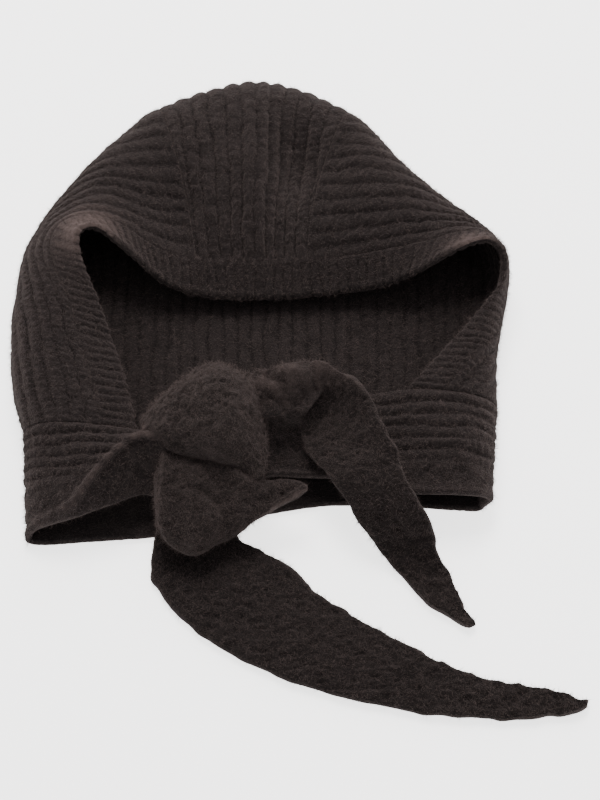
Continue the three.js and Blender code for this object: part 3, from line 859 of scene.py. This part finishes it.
# The roll stands along the crease of the left end, and the bead is the hem's own curl. Both are painted paler
# too, a painted highlight along the crease and along the hem.
ROLL_WIDE = 0.035
ROLL_HIGH = 1.8
ROLL_HIGHLIGHT = 0.85
FULL_RISE = 6.0
BEAD_WIDE = 0.06
BEAD_HIGH = 1.3
BEAD_HIGHLIGHT = 0.5
NECK_COLUMNS = ("t", "dx", "dy", "dz", "rise", "crease")
NECK_ROWS = [
    (-0.08, 2, -19, -12, 7, 0.15),
    (-0.03, 6, -26, -12, 8, 0.15),
    (0, 8, -32, -11, 9, 0.2),
    (0.015, 8, -33, -11, 9, 0.28),
    (0.03, 8, -36, -11, 9, 0.38),
    (0.05, 8, -41, -11, 9, 0.52),
    (0.08, 7, -47, -12, 8, 0.74),
    (0.1, 7, -51, -12, 6, 0.88),
    (0.13, 6, -55, -12, 3, 0.94),
    (0.17, 4, -59, -10, 1, 0.94),
    (0.2, 3, -62, -6, 0, 0.9),
    (0.24, 1, -63, 0, 0, 0.5),
    (0.4, 0, -61, 0, 0, 0.5),
    (0.52, 0, -52, 0, 0, 0.5),
    (0.63, 0, -48, 0, 0, 0.5),
    (0.82, -2, -57, 0, 0, 0.5),
    (0.85, -7, -57, -2, 0, 0.5),
    (0.88, -2, -58, -4, 2, 0.5),
    (0.93, 1, -62, -2, 2, 0.5),
    (1, -6, -62, -3, 0, 0.5),
    (1.03, -6, -56, -2, 0, 0.5),
    (1.07, -6, -50, -1, 0, 0.5),
    (1.14, -4, -44, 0, 0, 0.5),
    (1.22, -2, -36, 0, 0, 0.5),
]
neck = table(NECK_COLUMNS, NECK_ROWS)


def seam_line():
    """The hood's lower edge from chin to chin, with the ends that run into the knot, and t along it: 0 at the
    left chin and 1 at the right one."""
    edge = steps_of((0, 1, 20), (1, 2, 60), (2, 3, 20), (3, 4, 50))
    left, right = hood_surface(np.array([0.0, 1.0]), edge)
    foot = hood_surface(np.linspace(U_LEFT, U_RIGHT, 60), np.array([5.0]))[:, 0]
    points = np.concatenate([LEFT_END, left, foot[1:-1], right[::-1], RIGHT_END])
    run = lengths(points)
    chin, other = run[len(LEFT_END)], run[-1 - len(RIGHT_END)]
    return points, (run - chin) / (other - chin)


def neck_surface(t, share):
    """Middle points of the band: from the seam by the table's way to the hem, lifted like a tent along its
    crease, and never below the table."""
    line, line_t = seam_line()
    seam = np.stack([np.interp(t, line_t, line[:, k]) for k in range(3)], -1)
    row = {name: through(neck["t"], neck[name], t)[:, None] for name in NECK_COLUMNS}
    side = np.minimum(share / row["crease"], (1 - share) / (1 - row["crease"]))
    lift = row["rise"] * side * (1.4 - 0.4 * side)
    x = seam[:, :1] + row["dx"] * share
    y = seam[:, 1:2] + row["dy"] * share
    z = np.maximum(seam[:, 2:] + row["dz"] * share + lift, LIE)
    return np.stack([x, y, z], -1)


def neck_relief(middle, t, share):
    """Ribs counted down from the seam, wider and more of them on the right, then plain cloth to the hem. Past the
    crease of the left end, and on the last of the right end, the cloth is plain too."""
    down = lengths(middle)
    along = lengths(middle.transpose(1, 0, 2)).T / STITCH
    right = eased(t, 0.8, 0.9)[:, None]
    rib = down / (NECK_RIB + NECK_RIB_WIDER * right)
    crease = through(neck["t"], neck["crease"], t)[:, None]
    turned = eased(share - crease, -0.04, 0.06) * (1 - eased(t, 0.11, 0.15))[:, None]
    turned = np.maximum(turned, eased(t, 1.02, 1.07)[:, None])
    last = NECK_RIBS + NECK_RIBS_MORE * right
    plain = np.maximum(eased(rib - last, -0.4 - 1.2 * right, 0.4), turned)
    nap = 0.55 + 0.28 * clumps(middle, 2.4, 113) + 0.24 * clumps(middle, 4.6, 114)
    over = rib_relief(rib, along, 111) * (1 - plain) + nap * plain
    under = rib_relief(rib + 0.5, along, 116) * (1 - plain) + nap * plain
    return over, under


def crease_roll(t, share):
    """The crease of the left end stands up as a narrow roll: a bell curve across it, for as long as it lasts."""
    row = {name: through(neck["t"], neck[name], t)[:, None] for name in ("rise", "crease")}
    return np.clip(row["rise"] / FULL_RISE, 0, 1) * np.exp(-(((share - row["crease"]) / ROLL_WIDE) ** 2))


neck_t = steps_of((-0.11, 0.26, 150), (0.26, 0.78, 90), (0.78, 1.2, 160))
neck_share = np.linspace(0, 1, NECK_LINES)[None, :]
neck_middle = neck_surface(neck_t, neck_share)
neck_outside, neck_inside = neck_relief(neck_middle, neck_t, neck_share)
neck_fade = met(NECK_LINES, 2, 0)[None, :]
neck_outside = SEAM_LOW + (neck_outside - SEAM_LOW) * neck_fade
neck_inside = SEAM_LOW + (neck_inside - SEAM_LOW) * neck_fade
neck_edge = np.outer(rounded(len(neck_t), 2, 2), rounded(NECK_LINES, 0, 3))
neck_roll = crease_roll(neck_t, neck_share)
neck_bead = np.exp(-(((1 - neck_share) / BEAD_WIDE) ** 2))
neck_knit = NECK_DEEP * (neck_outside - SEAM_HIGH)
neck_over = neck_edge * (OUTER_AT + neck_knit + ROLL_HIGH * neck_roll + BEAD_HIGH * neck_bead)
neck_under = neck_edge * (INNER_AT + NECK_INNER_DEEP * (neck_inside - SEAM_HIGH))
neck_over, neck_under = above_table(neck_middle, neck_over, neck_under)
# The outer marks carry the painted highlight along the crease roll and the hem bead.
neck_marks = np.stack([neck_outside + ROLL_HIGHLIGHT * neck_roll + BEAD_HIGHLIGHT * neck_bead, neck_inside])
neck_band = shell("neck_band_knit", neck_middle, neck_over, neck_under, neck_marks)
neck_normal = normals_of(neck_middle)
neck_hair = fuzz("neck_band_hair", neck_middle + neck_normal * neck_over[..., None], neck_normal, 15000, 117)
dress(neck_band, rib_wool, "neck_band", (0.45, 0.062), [neck_hair])

# The two ties: the tapered ends of the neck band, knitted plain and brushed until the stitches hardly show.
# The lower one leaves the knot underneath and lies on the table; the right one arches out and comes down to it.
STRAP_COLUMNS = ("lx", "ly", "lz", "rx", "ry", "rz", "swell", "thick")
TIE_LOWER_ROWS = [
    (-72, -66, 17, -40, -66, 17, 1, 8),
    (-77, -80, 12, -36, -76, 13, 1, 7),
    (-79, -96, 5, -33, -89, 5, 1, 6),
    (-80, -108, 3, -20, -96, 3, 1, 5),
    (-73, -123, 3, -6, -105, 3, 1, 5),
    (-61, -137, 3, 6, -117, 3, 1, 5),
    (-45, -151, 3, 21, -129, 3, 1, 5),
    (-20, -165, 3, 41, -142, 3, 1, 5),
    (14, -178, 3, 66, -156, 3, 1, 5),
    (49, -187, 3, 85, -166, 3, 0.5, 5),
    (81, -192, 3, 104, -172, 3, 0.5, 5),
    (112, -193, 3, 123, -175, 3, 0, 5),
    (133, -191, 3, 137, -179, 3, 0, 5),
    (149, -187, 3, 150, -183, 3, 0, 5),
]
TIE_RIGHT_ROWS = [
    (-26, -31, 35, -30, -12, 41, 3, 13),
    (-17, -30, 36, -16, -9, 43, 3, 13),
    (-9, -26, 36, -5, -8, 45, 4, 12),
    (-2, -21, 37, 6, -7, 46, 4, 11),
    (5, -15, 39, 17, -8, 47, 2, 8),
    (13, -14, 38, 28, -13, 47, 0, 7),
    (1, -28, 24, 38, -26, 45, -3, 6),
    (5, -50, 26, 47, -43, 42, 0, 5),
    (14, -63, 30, 53, -58, 37, 3, 5),
    (23, -76, 28, 58, -72, 34, 3, 5),
    (33, -87, 18, 68, -85, 24, 2, 5),
    (42, -96, 8, 73, -97, 12, 1, 5),
    (52, -108, 3, 80, -110, 3, 1, 5),
    (64, -123, 3, 86, -127, 3, 0, 5),
    (78, -134, 3, 90, -134, 3, 0, 5),
    (89, -141, 3, 93, -139, 3, 0, 5),
]
TIE_WAVE = 1.1
WAVE_LONG = 6.5
TIE_WIDE = 0.05
FELT_DEEP = 2.2
FELT_RISE = 0.8
BENT_HIGHLIGHT = 1.12
felt_wool = paint_wool(
    "felted_wool",
    (0.0054, 0.0043, 0.0042, 1.0),
    (0.0135, 0.0106, 0.0101, 1.0),
    (0.0370, 0.0285, 0.0265, 1.0),
    groove_shade=0.6,
    nap=0.8,
)


def strap_surface(rows, stations, share, wave=0.0):
    """Middle points and thickness of a strap: between its left and right edge at each station, swollen in the
    middle by a parabola, its edges drawn in and out by wave millimetres, and never below the table."""
    tab = table(STRAP_COLUMNS, rows)
    at = shares(tab, ("lx", "ly", "lz"), ("rx", "ry", "rz"))
    row = {name: through(at, tab[name], stations)[:, None] for name in STRAP_COLUMNS}
    left = np.stack([row["lx"], row["ly"], row["lz"]], -1)
    right = np.stack([row["rx"], row["ry"], row["rz"]], -1)
    wide = np.maximum(np.linalg.norm(right - left, axis=-1, keepdims=True), 1.0)
    run = lengths(0.5 * (left + right)[:, 0])[:, None, None]
    out = (right - left) / wide * wave
    left = left - out * lumps(run / WAVE_LONG, run * 0, 121)
    right = right + out * lumps(run / WAVE_LONG, run * 0, 122)
    points = left + (right - left) * share[None, :, None]
    points[..., 2] += row["swell"] * 4 * share * (1 - share)
    points[..., 2] = np.maximum(points[..., 2], row["thick"] / 2)
    return points, np.broadcast_to(row["thick"], points.shape[:2])


def felted(points, seed):
    """Relief of plain knitting under a heavy nap, 0 to 1: soft clumps of three sizes."""
    fine = 0.26 * clumps(points, 1.9, seed) + 0.30 * clumps(points, 3.1, seed + 1)
    return 0.5 + fine + 0.22 * clumps(points, 6.3, seed + 2)


def lift_for_highlight(outside, middle, places, nap):
    """The marks of the outer face, brought up to nap and half their own height round each place: there the cloth
    is painted paler, a painted highlight.
    """
    return outside + (nap - 0.5 * outside) * np.minimum(near_places(middle, places), 1.0)


FOLD_COLUMNS = ("x0", "y0", "x1", "y1", "wide", "high")


def folds_on(middle, rows):
    """Height of the folds at each point: for each straight fold in plan, its height times a bell curve of the
    distance to it. A crease is a fold with its height below nothing."""
    tab = table(FOLD_COLUMNS, rows)
    height = np.zeros(middle.shape[:2])
    for k in range(len(rows)):
        start = np.array([tab["x0"][k], tab["y0"][k]])
        along = np.array([tab["x1"][k], tab["y1"][k]]) - start
        away = middle[..., :2] - start
        share = np.clip((away @ along) / (along @ along), 0, 1)
        far = np.linalg.norm(away - share[..., None] * along, axis=-1)
        height += tab["high"][k] * np.exp(-((far / tab["wide"][k]) ** 2))
    return height


def tie(name, rows, stations, columns, node, seed, hair_count, area, turns, folds=()):
    """A tie: a single thickness of felted knitting on its strap surface. turns are the places where it is bent,
    and rougher there, and painted paler there as a painted highlight; folds are its creases."""
    middle, thick = strap_surface(rows, np.linspace(0, 1, stations), np.linspace(0, 1, columns), wave=TIE_WAVE)
    outside, inside = felted(middle, seed), felted(middle, seed + 5)
    edge = np.outer(rounded(stations, 2, 3), rounded(columns, 3, 3))
    rough = FELT_DEEP + np.minimum(near_places(middle, turns), 1.0)
    over = edge * (thick / 2 + 0.1 + rough * (outside - 0.5) + folds_on(middle, folds))
    under = edge * (thick / 2 - 0.5 + 0.8 * inside)
    over, under = above_table(middle, over, under)
    # The outer marks are lifted round the turns for the painted highlight.
    marks = np.stack([lift_for_highlight(outside, middle, turns, BENT_HIGHLIGHT), inside])
    piece = shell(name, middle, over, under, marks)
    normal = normals_of(middle)
    face = middle + normal * over[..., None]
    loose = fuzz(name + "_hair", face, normal, hair_count, seed + 9, rise=FELT_RISE)
    dress(piece, felt_wool, node, (area / TIE_WIDE, TIE_WIDE), [loose])


# The ties' bends, painted paler as a painted highlight: the lower tie's rolled border and the top of the right
# tie's roll.
TIE_LOWER_LIT_TURNS = [(-81, -84, 4), (-83, -92, 4), (-83, -100, 4), (-82, -108, 4)]
TIE_RIGHT_FOLDS = [
    (-24, -26, -8, -21, 2.2, -1.8),
    (-22, -31, -6, -25, 2.4, 1.2),
    (-18, -14, -7, -16, 2.0, -1.6),
    (-8, -12, 4, -12, 2.2, 1.3),
    (-12, -28, -9, -18, 1.8, -1.2),
    (0, -19, 9, -10, 2.0, -1.4),
]
TIE_RIGHT_LIT_TURNS = [(-22, -16, 12), (-10, -15, 12), (2, -12, 10), (13, -9, 8), (24, -11, 7), (34, -18, 6)]
tie("tie_lower_knit", TIE_LOWER_ROWS, 301, 57, "tie_lower", 131, 14000, 0.011, TIE_LOWER_LIT_TURNS)
tie(
    "tie_right_knit",
    TIE_RIGHT_ROWS,
    241,
    49,
    "tie_right",
    151,
    9000,
    0.0066,
    TIE_RIGHT_LIT_TURNS,
    TIE_RIGHT_FOLDS,
)

# The knot: the ties' own cloth turned round itself, an upper wrap over the crossing and a lower wrap that
# flares out to the right. Each is a thick soft roll of the felted knitting.
KNOT_UPPER_ROWS = [
    (-86, -37, 34, -84, -43, 34, 1, 6),
    (-82, -30, 34, -77, -47, 34, 2, 12),
    (-72, -21, 34, -67, -53, 34, 3, 24),
    (-63, -13, 35, -56, -56, 34, 4, 28),
    (-53, -5, 36, -46, -58, 34, 5, 31),
    (-45, -3, 37, -38, -61, 34, 5, 31),
    (-37, -5, 37, -32, -65, 34, 4, 28),
    (-29, -12, 36, -26, -70, 34, 3, 23),
    (-22, -24, 35, -22, -71, 33, 2, 18),
    (-18, -34, 34, -19, -68, 33, 1, 13),
    (-17, -43, 32, -18, -60, 32, 0, 7),
]
KNOT_LOWER_ROWS = [
    (-79, -52, 28, -78, -66, 24, 0, 6),
    (-77, -46, 27, -76, -80, 20, 1, 14),
    (-71, -45, 26, -72, -95, 16, 2, 20),
    (-62, -46, 26, -62, -103, 15, 3, 22),
    (-52, -48, 26, -54, -104, 15, 3, 23),
    (-43, -51, 26, -45, -98, 15, 3, 22),
    (-34, -55, 27, -35, -94, 16, 3, 20),
    (-26, -61, 28, -27, -87, 18, 2, 15),
    (-17, -66, 29, -18, -83, 21, 0, 9),
    (-9, -66, 30, -10, -79, 24, -1, 6),
    (-1, -67, 30, -2, -76, 27, -1, 5),
    (4, -69, 29, 4, -72, 28, 0, 4),
]
KNOT_UPPER_FOLDS = [
    (-30, -20, -44, -60, 7, 2.5),
    (-17, -42, -30, -72, 11, -6),
    (-80, -46, -61, -50, 3, -2),
    (-53, -12, -60, -36, 4, -1.5),
]
KNOT_LOWER_FOLDS = [
    (-53, -73, -43, -80, 2.5, -2),
    (-74, -52, -70, -98, 4.5, 3),
    (-40, -74, -34, -100, 7, -2.5),
    (-46, -60, -20, -71, 3, 2),
    (-29, -90, 4, -70, 2.5, 1.5),
]
# Places along the wraps' edges painted paler, a painted highlight on the rims.
KNOT_UPPER_LIT_RIMS = [(-84, -39, 4)]
KNOT_LOWER_LIT_RIMS = [
    (-31, -92, 4),
    (-25, -89, 4),
    (-19, -86, 4),
    (-13, -83, 4),
    (-7, -80, 4),
    (-1, -77, 4),
    (5, -73, 4),
]
RIM_HIGHLIGHT = 1.75
KNOT_STATIONS = 121
KNOT_LINES = 97
KNOT_THINNEST = 1.5
KNOT_SKIN = 3.0
KNOT_DEEP = 2.4
KNOT_HAIRS = 8000
# The knot's cloth is the ties' felted wool painted paler, a lit copy of the same cloth: painted light.
knot_wool_painted_lighter = paint_wool(
    "knot_wool_painted_lighter",
    (0.0080, 0.0064, 0.0061, 1.0),
    (0.0220, 0.0172, 0.0161, 1.0),
    (0.0570, 0.0437, 0.0400, 1.0),
    groove_shade=0.6,
    nap=0.8,
)


def wrap(name, rows, folds, square, node, seed, rims):
    """A wrap: a strap with a felted skin and its folds on top. Across, it is a rounded pad whose half thickness
    is the root of 1 - |2 share - 1| ** square. rims are the places along an edge where the cloth is painted
    paler, a painted highlight."""
    share = np.linspace(1, 0, KNOT_LINES)
    middle, thick = strap_surface(rows, np.linspace(0, 1, KNOT_STATIONS), share)
    ends = rounded(KNOT_STATIONS, 6, 6)[:, None]
    pad = np.maximum(thick * (1 - np.abs(2 * share - 1) ** square) ** 0.5, KNOT_THINNEST)
    half = pad / 2 * ends
    normal = normals_of(middle)
    rise = normal * half[..., None]
    outside, inside = felted(middle + rise, seed), felted(middle - rise, seed)
    skin = np.minimum(1, half / KNOT_SKIN)
    over = half + skin * (KNOT_DEEP * outside - 1.0 + folds_on(middle, folds))
    under = half + skin * (0.8 * inside - 0.5)
    # The outer marks are lifted round the rims for the painted highlight.
    piece = shell(name, middle, over, under, np.stack([lift_for_highlight(outside, middle, rims, RIM_HIGHLIGHT), inside]))
    face = middle + normal * over[..., None]
    loose = fuzz(name + "_hair", face, normal, KNOT_HAIRS, seed + 9, rise=FELT_RISE)
    piece.data.materials.append(knot_wool_painted_lighter)
    for each in (piece, loose):
        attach(each, "root")
    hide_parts(node)


wrap("knot_upper_wrap_knit", KNOT_UPPER_ROWS, KNOT_UPPER_FOLDS, 3.0, "knot_upper_wrap", 171, KNOT_UPPER_LIT_RIMS)
wrap("knot_lower_wrap_knit", KNOT_LOWER_ROWS, KNOT_LOWER_FOLDS, 3.6, "knot_lower_wrap", 191, KNOT_LOWER_LIT_RIMS)
